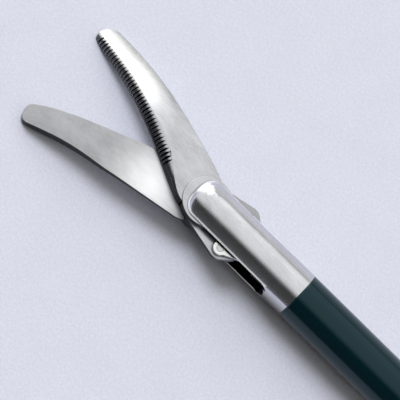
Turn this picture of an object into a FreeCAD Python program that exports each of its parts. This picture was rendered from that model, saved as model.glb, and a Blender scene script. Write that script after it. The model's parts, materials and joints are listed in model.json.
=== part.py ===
import FreeCAD, Part

# Laparoscopic scissors, 5 mm: curved double-action blades in a slotted clevis, an
# insulated shaft that turns with a fluted knob, and a pistol-type ring handle.
#
# Millimetres. The origin is on the shaft's axis where the shaft leaves the knob's nose
# cap. +X runs along the shaft to the blades, +Y is up when the handle is held, and the
# tool lies on its side with +Z up. Each blade stands open by BLADE_OPEN at rest.

import math
import os

Vector = FreeCAD.Vector

# Shaft: steel tube under an insulating sleeve
SHAFT_LENGTH = 300.0
SLEEVE_R = 2.5
SLEEVE_WALL = 0.28
TUBE_WALL = 0.3
TUBE_TAIL_GAP = 0.4
SLIP = 0.01
FAR = 200.0

# Clevis: the slotted head that holds the blades
PIVOT_AHEAD = 12.2
NOSE_AHEAD = 13.7
NOSE_ROUND = 1.4
SLOT_START = 2.4
SLOT_HEIGHT = 2.1
SLOT_CHAMFER = 0.12
EAR_TAPER = 0.04
SPIGOT_LENGTH = 7.0
LINK_ROOM_R = 1.72
LINK_ROOM_START = 1.0
GUIDE_R = 1.0
PIVOT_PIN_R = 0.6
PIVOT_RUNNING = 0.03

# Blades, drawn shut and in line with the shaft, u along the blade from the pivot
BLADE_OPEN = 16.4
BLADE_GAP = 0.02
BLADE_SIDE_GAP = 0.03
EYE_R = 2.5
TANG_THICK = 0.45
TANG_REACH = 4.43
TANG_OFFSET = 1.245
TANG_END_R = 0.98
HEEL_BACK = 1.17
HEEL_IN = 0.81
HEEL_R = 0.45
LINK_PIN_R = 0.35
STRAIGHT_LENGTH = 8.0
CURVE_R = 33.0
UPPER_LENGTH = 19.8
LOWER_LENGTH = 19.15
EYE_COVER_R = 2.75
BLADE_STOCK = 0.8
EDGE_WALL = 0.32
BEVEL_BULGE = 0.15
LOWER_EDGE_WALL = 0.12

# Serrations of the upper blade
TOOTH_COUNT = 37
TOOTH_PITCH = 0.384
TOOTH_FIRST = 5.22
TOOTH_FLARE = 28.0
TOOTH_SINK = 0.26
TOOTH_CLEAR = 0.4

# Links and the pull rod's end
LINK_LENGTH = 5.2
LINK_SIDE_GAP = 0.03
LINK_ROOF_GAP = 0.22
LINK_END_R = 0.7
LINK_TAIL_R = 0.78
LINK_BAR = 1.15
LINK_PIN_RUNNING = 0.02
ROD_PIN_R = 0.4
ROD_PIN_PLAY = 0.1
ROD_R = 0.8
TONGUE_THICK = 0.98
TONGUE_LENGTH = 7.0
TONGUE_HALF = 0.82

# Handle drive: a ball on the rod's tail sits in a fork on the thumb lever
DRIVE_X = -56.0
DRIVE_ARM = 4.2
BALL_R = 1.7
BALL_PLAY = 0.05
FORK_PRONG = 1.6
FORK_THICK = 4.6
FORK_SLIT = 2.1
FORK_SLIT_DEEP = 1.8
FORK_FLOOR = 1.1
FORK_EYE_R = 2.9
FORK_SEAT_R = 7.4
FORK_ROOM = 2.4
FORK_ABOVE = 0.6
FORK_SIDE_GAP = 0.04
FORK_PIN_R = 0.8
FORK_PIN_DOWN = 5.3
LEVER_PIN_R = 1.25
LEVER_RUNNING = 0.04
LEVER_HEAD_R = 2.6
LEVER_HEAD_THICK = 1.5
LEVER_HEAD_SUNK = 0.1

# Rotation knob, nose cap and the collar that grips the tube
KNOB_R = 11.0
KNOB_FRONT = -5.0
KNOB_BACK = -20.0
NOSE_CAP_R = 8.6
NOSE_CAP_TIP_R = 4.2
NOSE_CAP_BULGE = 0.8
KNOB_SHOULDER = 1.0
KNOB_BULGE = 0.6
FLUTE_COUNT = 10
FLUTE_R = 3.1
FLUTE_DEPTH = 1.9
GRUB_SUNK = 0.6
GRUB_SOCKET = 0.66
JOURNAL_R = 6.0
JOURNAL_END = -34.0
GROOVE_FRONT = -26.0
GROOVE_BACK = -29.0
GROOVE_R = 4.7
COLLAR_R = 4.2
COLLAR_FRONT = -6.5
COLLAR_BACK = -17.0
GRUB_R = 1.2
GRUB_X = -12.5
KNOB_RUNNING = 0.06
RIB_SIDE_GAP = 0.15

# Rod seal in the knob's journal
SEAL_R = 2.7
SEAL_POCKET = 2.1
SEAL_CAP_R = 4.4
SEAL_CAP_THICK = 1.6
SEAL_CAP_BREAK = 0.4
SEAL_CAP_RUNNING = 0.15
SEAL_CAP_ROOM = 0.6

# Handle shells
BODY_HALF = 7.5
GRIP_HALF = 4.6
BODY_FRONT = -20.4
BODY_CREST = -50.0
BODY_TOP = 9.8
BODY_BOTTOM = -9.6
BODY_BACK = -76.0
BODY_FALL = 1.6
BODY_FRONT_R = 0.8
BODY_BACK_R = 8.0
BODY_BOW_R = 120.0
BODY_EDGE_R = 3.6
GRIP_FRONT = -27.5
GRIP_BACK = -49.0
GRIP_FLARE = 5.5
GRIP_ROOT_R = 3.0
GRIP_BEND_R = 8.0
GRIP_WAIST = 2.0
NECK_LONG = 6.0
GRIP_EDGE_R = 2.7
CAVITY_HALF = 4.9
CAVITY_TOP = 5.2
ROD_ROOM = 0.6
SHELL_SCREW_R = 1.2
SHELL_HEAD_R = 2.2
SHELL_HEAD_DEEP = 1.7
SHELL_HEAD_SUNK = 0.3
SCREW_SLOT_HALF = 0.38
SCREW_SLOT_DEEP = 0.7
SCREW_END_GAP = 0.2
SHELL_THREAD_REACH = 3.0

# Finger loop of the fixed grip
LOOP_FRONT = -15.0
LOOP_BACK = -40.0
LOOP_TOP = -37.0
LOOP_BOTTOM = -77.0
LOOP_WALL = 6.0
LOOP_ROUND = 11.0

# Thumb lever
THUMB_X = -82.0
THUMB_Y = -58.0
THUMB_HOLE_R = 11.5
THUMB_WALL = 5.2
LEVER_HALF = 4.4
LEVER_EYE_R = 5.0
LEVER_ARM_HALF = 4.6
LEVER_EDGE_R = 2.4
LEVER_WAIST = 0.42
LEVER_WAIST_R = 90.0
LEVER_ROOT_FLARE = 0.9
LEVER_ROOT_GAP = 3.0
LEVER_ROOT_R = 16.0
LEVER_INSET = 1.5
LEVER_EYE_ROOM = 1.0
LEVER_HEAD_TOP = 1.8
MOUTH_HALF = 5.4
MOUTH_FRONT = 4.8
MOUTH_BACK = 13.4
MOUTH_BOTTOM = -15.6
MOUTH_R = 0.5

# High-frequency connector post and its contact block
POST_LEAN = 30.0
POST_FOOT_X = -41.0
POST_R = 2.0
POST_SHANK_R = 1.5
POST_SHOULDER = 15.5
POST_LENGTH = 14.0
POST_NOSE_ROUND = 0.8
POST_ROD_GAP = 0.25
POST_BOSS_ROOT_R = 6.4
POST_BOSS_R = 4.4
POST_BOSS_BREAK = 0.8
BLOCK_HALF = 3.2
BLOCK_RUNNING = 0.05

# Values worked out from those above
SLEEVE_BORE = SLEEVE_R - SLEEVE_WALL
TUBE_R = SLEEVE_BORE - SLIP
TUBE_BORE = TUBE_R - TUBE_WALL
PIVOT_X = SHAFT_LENGTH + PIVOT_AHEAD
NOSE_X = SHAFT_LENGTH + NOSE_AHEAD
SLOT_HALF = SLOT_HEIGHT / 2
BLADE_TOP = SLOT_HALF - BLADE_SIDE_GAP
LINK_BOTTOM = BLADE_GAP + TANG_THICK + LINK_SIDE_GAP
LINK_TOP = SLOT_HALF - LINK_ROOF_GAP
TANG_ANGLE = math.degrees(math.atan2(TANG_OFFSET, TANG_REACH)) + BLADE_OPEN
TANG_RADIUS = math.hypot(TANG_OFFSET, TANG_REACH)
TANG_PIN_X = PIVOT_X - TANG_RADIUS * math.cos(math.radians(TANG_ANGLE))
TANG_PIN_Y = TANG_RADIUS * math.sin(math.radians(TANG_ANGLE))
ROD_PIN_X = TANG_PIN_X - math.sqrt(LINK_LENGTH**2 - TANG_PIN_Y**2)
LEVER_PIVOT_Y = -DRIVE_ARM
LEVER_HEAD_SEAT = BODY_HALF - LEVER_HEAD_THICK - LEVER_HEAD_SUNK
POST_DIR = Vector(-math.sin(math.radians(POST_LEAN)), math.cos(math.radians(POST_LEAN)), 0)
POST_FOOT = Vector(POST_FOOT_X, 0, 0)
POST_REACH = ROD_R + POST_ROD_GAP + POST_SHANK_R * math.sin(math.radians(POST_LEAN))
POST_START = POST_REACH / math.cos(math.radians(POST_LEAN))
TUBE_TAIL_X = JOURNAL_END + SEAL_POCKET + TUBE_TAIL_GAP
EAR_X = SHAFT_LENGTH + SLOT_START + SLOT_HALF


# Plain shapes


def rod_between(radius, start, end):
    """A cylinder from one point to another."""
    return Part.makeCylinder(radius, (end - start).Length, start, end - start)


def rod_x(radius, x0, x1):
    return rod_between(radius, Vector(x0, 0, 0), Vector(x1, 0, 0))


def pipe_x(outer, inner, x0, x1):
    return rod_x(outer, x0, x1).cut(rod_x(inner, x0, x1))


def rod_z(radius, x, y, z0, z1):
    return rod_between(radius, Vector(x, y, z0), Vector(x, y, z1))


def block(x0, x1, y0, y1, z0, z1):
    return Part.makeBox(x1 - x0, y1 - y0, z1 - z0, Vector(x0, y0, z0))


def turned_x(profile):
    """Revolves a closed outline of (x, radius) points about the shaft's axis."""
    points = [Vector(x, r, 0) for x, r in profile]
    face = Part.Face(Part.makePolygon(points + [points[0]]))
    return face.revolve(Vector(0, 0, 0), Vector(1, 0, 0), 360)


def rounded_face(corners):
    """A flat face from (x, y, corner radius) corners, each corner an arc."""
    count = len(corners)
    edges = []
    joints = []
    for i, (x, y, radius) in enumerate(corners):
        here = Vector(x, y, 0)
        before = Vector(corners[i - 1][0], corners[i - 1][1], 0) - here
        after = Vector(corners[(i + 1) % count][0], corners[(i + 1) % count][1], 0) - here
        before.normalize()
        after.normalize()
        half = before.getAngle(after) / 2
        reach = radius / math.tan(half)
        middle = before + after
        middle.normalize()
        summit = here + middle * (radius / math.sin(half) - radius)
        joints.append((here + before * reach, summit, here + after * reach))
    for i, (start, summit, end) in enumerate(joints):
        edges.append(Part.Arc(start, summit, end).toShape())
        edges.append(Part.LineSegment(end, joints[(i + 1) % count][0]).toShape())
    return Part.Face(Part.Wire(edges))


def plate(face, z0, z1):
    shape = face.copy()
    shape.translate(Vector(0, 0, z0))
    return shape.extrude(Vector(0, 0, z1 - z0))


def strap(a, radius_a, b, radius_b, z0, z1):
    """A flat link whose sides are tangent to the circles round its two ends."""
    along = b - a
    distance = along.Length
    along.normalize()
    across = Vector(-along.y, along.x, 0)
    sine = (radius_a - radius_b) / distance
    cosine = math.sqrt(1 - sine * sine)
    left = along * sine + across * cosine
    right = along * sine - across * cosine
    corners = [a + left * radius_a, a + right * radius_a, b + right * radius_b, b + left * radius_b]
    web = plate(Part.Face(Part.makePolygon(corners + [corners[0]])), z0, z1)
    ends = [rod_z(radius_a, a.x, a.y, z0, z1), rod_z(radius_b, b.x, b.y, z0, z1)]
    return web.multiFuse(ends).removeSplitter()


def soften(solid, radius, levels):
    """Rounds the edges that lie flat at the given heights."""
    edges = []
    for edge in solid.Edges:
        box = edge.BoundBox
        flat = box.ZLength < 1e-6
        if flat and any(abs(box.ZMin - level) < 1e-6 for level in levels):
            edges.append(edge)
    return solid.makeFillet(radius, edges)


def place_upper(shape):
    """Swings a piece drawn in the shut blade's frame to the upper blade's rest."""
    moved = shape.copy()
    moved.rotate(Vector(0, 0, 0), Vector(0, 0, 1), -BLADE_OPEN)
    moved.translate(Vector(PIVOT_X, 0, 0))
    return moved


def place_lower(shape):
    """The same for the lower blade, which lies face down on the upper one."""
    moved = shape.copy()
    moved.rotate(Vector(0, 0, 0), Vector(1, 0, 0), 180)
    moved.rotate(Vector(0, 0, 0), Vector(0, 0, 1), BLADE_OPEN)
    moved.translate(Vector(PIVOT_X, 0, 0))
    return moved


# Shaft


def sleeve():
    return pipe_x(SLEEVE_R, SLEEVE_BORE, 0, SHAFT_LENGTH)


def tube():
    return pipe_x(TUBE_R, TUBE_BORE, TUBE_TAIL_X, SHAFT_LENGTH)


def clevis_blank():
    """The clevis as turned: a spigot for the tube, a ring of the shaft's width and a
    domed head that tapers by a hair, so that the ears never scrape a port."""
    spigot_r = TUBE_BORE - SLIP
    axis = Vector(1, 0, 0)
    nose_r = SLEEVE_R - EAR_TAPER
    head = Part.makeCone(SLEEVE_R, nose_r, NOSE_X - EAR_X, Vector(EAR_X, 0, 0), axis)
    nose = [e for e in head.Edges if abs(e.BoundBox.XMin - NOSE_X) < 1e-6]
    head = head.makeFillet(NOSE_ROUND, nose)
    ring = rod_x(SLEEVE_R, SHAFT_LENGTH, EAR_X)
    spigot = rod_x(spigot_r, SHAFT_LENGTH - SPIGOT_LENGTH, SHAFT_LENGTH)
    return head.multiFuse([ring, spigot])


def slot_cutter():
    """The slot between the ears, with its round rear end."""
    reach = 2 * SLEEVE_R
    return Part.Face(slot_outline(SLOT_HALF, -reach)).extrude(Vector(0, 2 * reach, 0))


def slot_bevels():
    """Two wedges that break the slot's outer edges, one on each side of the clevis."""
    deep = math.sqrt(SLEEVE_R**2 - SLOT_HALF**2) - SLOT_CHAMFER
    cutters = []
    for side in (-1, 1):
        near = slot_outline(SLOT_HALF, side * deep)
        far = slot_outline(SLOT_HALF + 2 * SLOT_CHAMFER, side * (deep + 2 * SLOT_CHAMFER))
        cutters.append(Part.makeLoft([near, far], True))
    return cutters


def slot_outline(half, y):
    """The slot's long outline, round at the rear, at a distance from the axis."""
    front = NOSE_X + SLEEVE_R
    rear = Vector(EAR_X - half, y, 0)
    above = Vector(EAR_X, y, half)
    below = Vector(EAR_X, y, -half)
    return Part.Wire(
        [
            Part.Arc(above, rear, below).toShape(),
            Part.LineSegment(below, Vector(front, y, -half)).toShape(),
            Part.LineSegment(Vector(front, y, -half), Vector(front, y, half)).toShape(),
            Part.LineSegment(Vector(front, y, half), above).toShape(),
        ]
    )


def clevis():
    reach = 2 * SLEEVE_R
    cutters = slot_bevels() + [
        slot_cutter(),
        rod_x(LINK_ROOM_R, SHAFT_LENGTH + LINK_ROOM_START, EAR_X + SLOT_HALF),
        rod_x(GUIDE_R, SHAFT_LENGTH - SPIGOT_LENGTH, EAR_X),
        rod_z(PIVOT_PIN_R + SLIP / 2, PIVOT_X, 0, -reach, reach),
    ]
    body = clevis_blank()
    for cutter in cutters:
        body = body.cut(cutter)
    return body.removeSplitter()


def pivot_pin():
    """The blades' pin, ground flush with the clevis."""
    return rod_z(PIVOT_PIN_R, PIVOT_X, 0, -SLEEVE_R, SLEEVE_R).common(clevis_blank())


# Blades


def fall(u):
    """How far the shearing face has curved away at a distance from the pivot."""
    beyond = max(0.0, u - STRAIGHT_LENGTH)
    return CURVE_R - math.sqrt(CURVE_R**2 - beyond**2)


def below_shear(bend):
    """Everything under the shearing face, which is turned about the pivot so that the
    blades pass over each other at any opening."""
    outer = UPPER_LENGTH + EYE_R
    floor = -FAR
    middle = (STRAIGHT_LENGTH + outer) / 2
    start = Vector(STRAIGHT_LENGTH, 0, BLADE_GAP)
    through = Vector(middle, 0, BLADE_GAP + bend * fall(middle))
    end = Vector(outer, 0, BLADE_GAP + bend * fall(outer))
    corner = Vector(outer, 0, floor)
    foot = Vector(0, 0, floor)
    hub = Vector(0, 0, BLADE_GAP)
    wire = Part.Wire(
        [
            Part.LineSegment(hub, start).toShape(),
            Part.Arc(start, through, end).toShape(),
            Part.LineSegment(end, corner).toShape(),
            Part.LineSegment(corner, foot).toShape(),
            Part.LineSegment(foot, hub).toShape(),
        ]
    )
    return Part.Face(wire).revolve(Vector(0, 0, 0), Vector(0, 0, 1), 360)


def blade_section(station, bend):
    """One cross-section: shearing face below, convex bevel at the edge, crowned back."""
    u, edge, back, thick, lip_wall, bevel, back_wall = station
    level = BLADE_GAP + bend * fall(u)
    under = level - BLADE_STOCK
    lip = Vector(u, edge, level + lip_wall)
    ridge = Vector(u, edge - bevel, level + thick)
    shoulder = Vector(u, back, level + back_wall)
    rise = ridge - lip
    bulge = (lip + ridge) / 2 + Vector(0, rise.z, -rise.y) * BEVEL_BULGE
    crown = (ridge + shoulder) / 2 + Vector(0, 0, (ridge.z - shoulder.z) / 4)
    foot = Vector(u, back, under)
    heel = Vector(u, edge, under)
    return Part.Wire(
        [
            Part.LineSegment(heel, lip).toShape(),
            Part.Arc(lip, bulge, ridge).toShape(),
            Part.Arc(ridge, crown, shoulder).toShape(),
            Part.LineSegment(shoulder, foot).toShape(),
            Part.LineSegment(foot, heel).toShape(),
        ]
    )


def tip_outline(length, tip):
    """The plan that trims a blade: side lines that close in on a blunt round tip."""
    edge, edge_round, edge_slope, back, back_round, back_slope = tip
    corners = [
        (length, edge, edge_round),
        (-EYE_R, edge + edge_slope * (length + EYE_R), HEEL_R),
        (-EYE_R, back - back_slope * (length + EYE_R), HEEL_R),
        (length, back, back_round),
    ]
    return plate(rounded_face(corners), -FAR, FAR)


def blade(stations, length, tip, bend):
    """A blade drawn shut: a lofted body with a round tip, the eye and the tang."""
    body = Part.makeLoft([blade_section(s, bend) for s in stations], True)
    body = body.common(tip_outline(length, tip))
    eye = rod_z(EYE_R, 0, 0, 0, BLADE_TOP)
    under_ear = rod_z(EYE_COVER_R, 0, 0, BLADE_TOP, FAR)
    tang_pin = Vector(-TANG_REACH, TANG_OFFSET, 0)
    heel = tang_pin - Vector(HEEL_BACK, HEEL_IN, 0)
    tang_top = BLADE_GAP + TANG_THICK
    tang = strap(Vector(0, 0, 0), EYE_R, tang_pin, TANG_END_R, 0, tang_top)
    tail = strap(tang_pin, TANG_END_R, heel, HEEL_R, 0, tang_top)
    body = body.cut(under_ear).multiFuse([eye, tang, tail])
    body = body.cut(below_shear(bend))
    body = body.cut(rod_z(PIVOT_PIN_R + PIVOT_RUNNING, 0, 0, -FAR, FAR))
    return body.cut(rod_z(LINK_PIN_R + SLIP / 2, tang_pin.x, tang_pin.y, -FAR, FAR))


# Stations: u, cutting edge, back, thickness, wall at the edge, bevel, wall at the back
UPPER_STATIONS = [
    (1.2, 2.35, -2.40, 0.90, EDGE_WALL, 0.15, 0.80),
    (3.4, 2.12, -2.58, 1.00, EDGE_WALL, 0.38, 0.85),
    (5.8, 1.66, -2.62, 1.10, EDGE_WALL, 0.95, 0.86),
    (10.0, 0.98, -2.61, 1.20, EDGE_WALL, 0.80, 0.82),
    (14.0, 0.58, -2.46, 1.16, EDGE_WALL, 0.70, 0.75),
    (17.2, 0.42, -2.23, 1.05, EDGE_WALL, 0.61, 0.64),
    (20.2, 0.16, -1.96, 0.90, EDGE_WALL, 0.52, 0.52),
]
LOWER_STATIONS = [
    (1.2, 2.15, -2.45, 0.80, LOWER_EDGE_WALL, 0.60, 0.25),
    (3.4, 2.55, -2.60, 0.80, LOWER_EDGE_WALL, 1.20, 0.30),
    (6.5, 2.52, -2.25, 0.95, LOWER_EDGE_WALL, 1.70, 0.40),
    (10.0, 2.12, -1.79, 1.15, LOWER_EDGE_WALL, 1.80, 0.65),
    (14.0, 1.83, -1.16, 1.25, LOWER_EDGE_WALL, 1.60, 1.00),
    (17.2, 1.47, -0.97, 1.05, LOWER_EDGE_WALL, 1.20, 0.88),
    (19.8, 0.95, -0.78, 0.60, LOWER_EDGE_WALL, 0.80, 0.45),
]

# Tips: the corner at the cutting edge and the one at the back, each with its offset,
# its round and the slope of the side line behind it
UPPER_TIP = (0.14, 0.55, 0.14, -1.98, 1.25, 0.1)
LOWER_TIP = (1.0, 0.7, 0.26, -0.86, 0.85, 0.1)


def at_station(u, column):
    """A size of the upper blade at a distance from the pivot, by its stations."""
    for near, far in zip(UPPER_STATIONS, UPPER_STATIONS[1:]):
        if u <= far[0]:
            share = (u - near[0]) / (far[0] - near[0])
            return near[column] + share * (far[column] - near[column])
    return UPPER_STATIONS[-1][column]


def tooth_cutter(bevel, rise):
    """A V-shaped cutter that climbs from under the edge to the top of the bevel, so
    that the notch is wide at the edge and runs out to a point."""
    reach = 3 * bevel
    half = TOOTH_CLEAR * math.tan(math.radians(TOOTH_FLARE))
    points = [Vector(0, 0, 0), Vector(half, 0, TOOTH_CLEAR), Vector(-half, 0, TOOTH_CLEAR)]
    cutter = Part.Face(Part.makePolygon(points + [points[0]])).extrude(Vector(0, reach, 0))
    cutter.translate(Vector(0, -bevel, 0))
    slope = math.atan2(rise + TOOTH_SINK, bevel)
    cutter.rotate(Vector(0, -bevel, 0), Vector(1, 0, 0), -math.degrees(slope))
    return cutter


def teeth():
    """The serrations' cutters, set square to the cutting edge along its length."""
    cutters = []
    step = TOOTH_PITCH
    for i in range(TOOTH_COUNT):
        u = TOOTH_FIRST + i * TOOTH_PITCH
        edge = at_station(u, 1)
        thick = at_station(u, 3)
        lean = math.atan2(at_station(u + step, 1) - at_station(u - step, 1), 2 * step)
        cutter = tooth_cutter(at_station(u, 5), thick - EDGE_WALL)
        cutter.rotate(Vector(0, 0, 0), Vector(0, 0, 1), math.degrees(lean))
        cutter.translate(Vector(u, edge, BLADE_GAP - fall(u) + thick))
        cutters.append(cutter)
    return cutters


def upper_blade():
    body = blade(UPPER_STATIONS, UPPER_LENGTH, UPPER_TIP, -1)
    return place_upper(body.cut(Part.makeCompound(teeth())))


def lower_blade():
    return place_lower(blade(LOWER_STATIONS, LOWER_LENGTH, LOWER_TIP, 1))


# Links and pins


def link_pin_shut():
    bottom = BLADE_GAP + SLIP
    return rod_z(LINK_PIN_R, -TANG_REACH, TANG_OFFSET, bottom, LINK_TOP)


def link(side):
    """A link from a blade's tang pin to the rod's pin. Side is 1 for the upper link,
    which lies above the rod's tongue, and -1 for the lower, which lies under it."""
    front = Vector(TANG_PIN_X, side * TANG_PIN_Y, 0)
    back = Vector(ROD_PIN_X, 0, 0)
    low, high = (LINK_BOTTOM, LINK_TOP) if side > 0 else (-LINK_TOP, -LINK_BOTTOM)
    bar = strap(front, LINK_BAR / 2, back, LINK_BAR / 2, low, high)
    eyes = [
        rod_z(LINK_END_R, front.x, front.y, low, high),
        rod_z(LINK_TAIL_R, back.x, back.y, low, high),
    ]
    shape = bar.multiFuse(eyes).removeSplitter()
    shape = shape.cut(rod_z(LINK_PIN_R + LINK_PIN_RUNNING, front.x, front.y, low, high))
    return shape.cut(rod_z(ROD_PIN_R + ROD_PIN_PLAY, back.x, back.y, low, high))


def rod_pin():
    return rod_z(ROD_PIN_R, ROD_PIN_X, 0, -LINK_TOP, LINK_TOP)


def pull_rod():
    """The rod, with a flat tongue between the links and a neck screwed into the ball."""
    half = TONGUE_THICK / 2
    root = ROD_PIN_X - TONGUE_LENGTH
    shank = rod_x(ROD_R, DRIVE_X, root)
    flat = block(root, ROD_PIN_X, -TONGUE_HALF, TONGUE_HALF, -half, half)
    eye = rod_z(TONGUE_HALF, ROD_PIN_X, 0, -half, half)
    rod = shank.multiFuse([flat, eye])
    return rod.cut(rod_z(ROD_PIN_R + SLIP / 2, ROD_PIN_X, 0, -half, half))


def rod_ball():
    """The ball on the rod's tail, bored for the rod."""
    ball = Part.makeSphere(BALL_R, Vector(DRIVE_X, 0, 0))
    return ball.cut(rod_x(ROD_R + SLIP / 2, DRIVE_X, DRIVE_X + BALL_R))


# Knob


def flutes():
    """Round cutters that lean inward along the knob, deepest at its rear."""
    cutters = []
    rear = KNOB_R - FLUTE_DEPTH + FLUTE_R
    front = NOSE_CAP_R + FLUTE_R
    lean = (rear - front) / (KNOB_FRONT - KNOB_BACK)
    for i in range(FLUTE_COUNT):
        angle = 360.0 * (i + 0.5) / FLUTE_COUNT
        start = Vector(KNOB_BACK - FLUTE_R, rear + lean * FLUTE_R, 0)
        end = Vector(KNOB_FRONT + FLUTE_R, front - lean * FLUTE_R, 0)
        cutter = rod_between(FLUTE_R, start, end)
        cutter.rotate(Vector(0, 0, 0), Vector(1, 0, 0), angle)
        cutters.append(cutter)
    return cutters


def knob():
    """The fluted knob with the journal that turns in the shells. Its side is one arc
    that narrows to the nose cap, and each flute runs out where the cap begins."""
    rear = Vector(KNOB_BACK + KNOB_SHOULDER, KNOB_R, 0)
    front = Vector(KNOB_FRONT, NOSE_CAP_R, 0)
    middle = (rear + front) / 2 + Vector(0, KNOB_BULGE, 0)
    corners = [
        (KNOB_FRONT, 0),
        (JOURNAL_END, 0),
        (JOURNAL_END, JOURNAL_R),
        (GROOVE_BACK, JOURNAL_R),
        (GROOVE_BACK, GROOVE_R),
        (GROOVE_FRONT, GROOVE_R),
        (GROOVE_FRONT, JOURNAL_R),
        (KNOB_BACK, JOURNAL_R),
        (KNOB_BACK, KNOB_R - KNOB_SHOULDER),
    ]
    points = [front] + [Vector(x, r, 0) for x, r in corners] + [rear]
    edges = [Part.LineSegment(a, b).toShape() for a, b in zip(points, points[1:])]
    edges.append(Part.Arc(rear, middle, front).toShape())
    body = Part.Face(Part.Wire(edges)).revolve(Vector(0, 0, 0), Vector(1, 0, 0), 360)
    body = body.cut(Part.makeCompound(flutes()))
    bores = [
        rod_x(COLLAR_R + SLIP, COLLAR_BACK, KNOB_FRONT),
        rod_x(TUBE_R + SLIP, JOURNAL_END, COLLAR_BACK),
        rod_x(SEAL_R + SLIP, JOURNAL_END, JOURNAL_END + SEAL_POCKET),
        rod_between(GRUB_R + SLIP, Vector(GRUB_X, -KNOB_R, 0), Vector(GRUB_X, KNOB_R, 0)),
    ]
    for cutter in bores:
        body = body.cut(cutter)
    return body


def nose_cap():
    """The cap that closes the knob round the shaft, with a spigot in the knob's bore."""
    spigot = COLLAR_R - SLIP
    back = KNOB_FRONT + SLIP
    rim = Vector(back, NOSE_CAP_R, 0)
    tip = Vector(0, NOSE_CAP_TIP_R, 0)
    dome = (rim + tip) / 2 + Vector(NOSE_CAP_BULGE, NOSE_CAP_BULGE, 0)
    corners = [
        (0, 0),
        (COLLAR_FRONT + SLIP, 0),
        (COLLAR_FRONT + SLIP, spigot),
        (back, spigot),
    ]
    points = [tip] + [Vector(x, r, 0) for x, r in corners] + [rim]
    edges = [Part.LineSegment(a, b).toShape() for a, b in zip(points, points[1:])]
    edges.append(Part.Arc(rim, dome, tip).toShape())
    cap = Part.Face(Part.Wire(edges)).revolve(Vector(0, 0, 0), Vector(1, 0, 0), 360)
    return cap.cut(rod_x(TUBE_R + SLIP, COLLAR_FRONT - 1, 1))


def tube_collar():
    """The steel collar on the tube, cross-drilled for the grub screws."""
    body = pipe_x(COLLAR_R, TUBE_R + SLIP, COLLAR_BACK, COLLAR_FRONT)
    dimple = rod_between(GRUB_R + SLIP, Vector(GRUB_X, -KNOB_R, 0), Vector(GRUB_X, KNOB_R, 0))
    return body.cut(dimple)


def grub_screws():
    """Two screws that lock the knob and its collar to the tube, each with a hex socket."""
    screws = []
    outer = KNOB_R - FLUTE_DEPTH - GRUB_SUNK
    for side in (-1, 1):
        tip = Vector(GRUB_X, side * (TUBE_R + SLIP), 0)
        head = Vector(GRUB_X, side * outer, 0)
        screw = rod_between(GRUB_R, tip, head)
        spots = []
        for i in range(7):
            angle = math.pi * i / 3
            x = GRUB_SOCKET * math.cos(angle)
            z = GRUB_SOCKET * math.sin(angle)
            spots.append(head + Vector(x, 0, z))
        socket = Part.Face(Part.makePolygon(spots)).extrude(Vector(0, -side * GRUB_R, 0))
        screws.append(screw.cut(socket))
    return Part.makeCompound(screws)


def rod_seal():
    """The silicone ring that seals the rod."""
    minor = (SEAL_R - ROD_R - 2 * SLIP) / 2
    major = ROD_R + SLIP + minor
    middle = JOURNAL_END + SEAL_POCKET / 2
    return Part.makeTorus(major, minor, Vector(middle, 0, 0), Vector(1, 0, 0))


def seal_cap():
    """The cap that holds the seal in the journal's end."""
    back = JOURNAL_END - SEAL_CAP_THICK
    profile = [
        (JOURNAL_END - SLIP, 0),
        (JOURNAL_END - SLIP, SEAL_CAP_R),
        (back + SEAL_CAP_BREAK, SEAL_CAP_R),
        (back, SEAL_CAP_R - SEAL_CAP_BREAK),
        (back, 0),
    ]
    return turned_x(profile).cut(rod_x(ROD_R + SEAL_CAP_RUNNING, 2 * JOURNAL_END, 0))


# Handle shells

SCREW_SPOTS = [
    (BODY_BACK + 6.5, 3.2, BODY_HALF),
    (-37.0, -20.5, GRIP_HALF),
    (LOOP_BACK - LOOP_WALL / 2, LOOP_BOTTOM + LOOP_ROUND + 3, GRIP_HALF),
    (LOOP_FRONT + LOOP_WALL / 2, (LOOP_TOP + LOOP_BOTTOM) / 2, GRIP_HALF),
]


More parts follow.
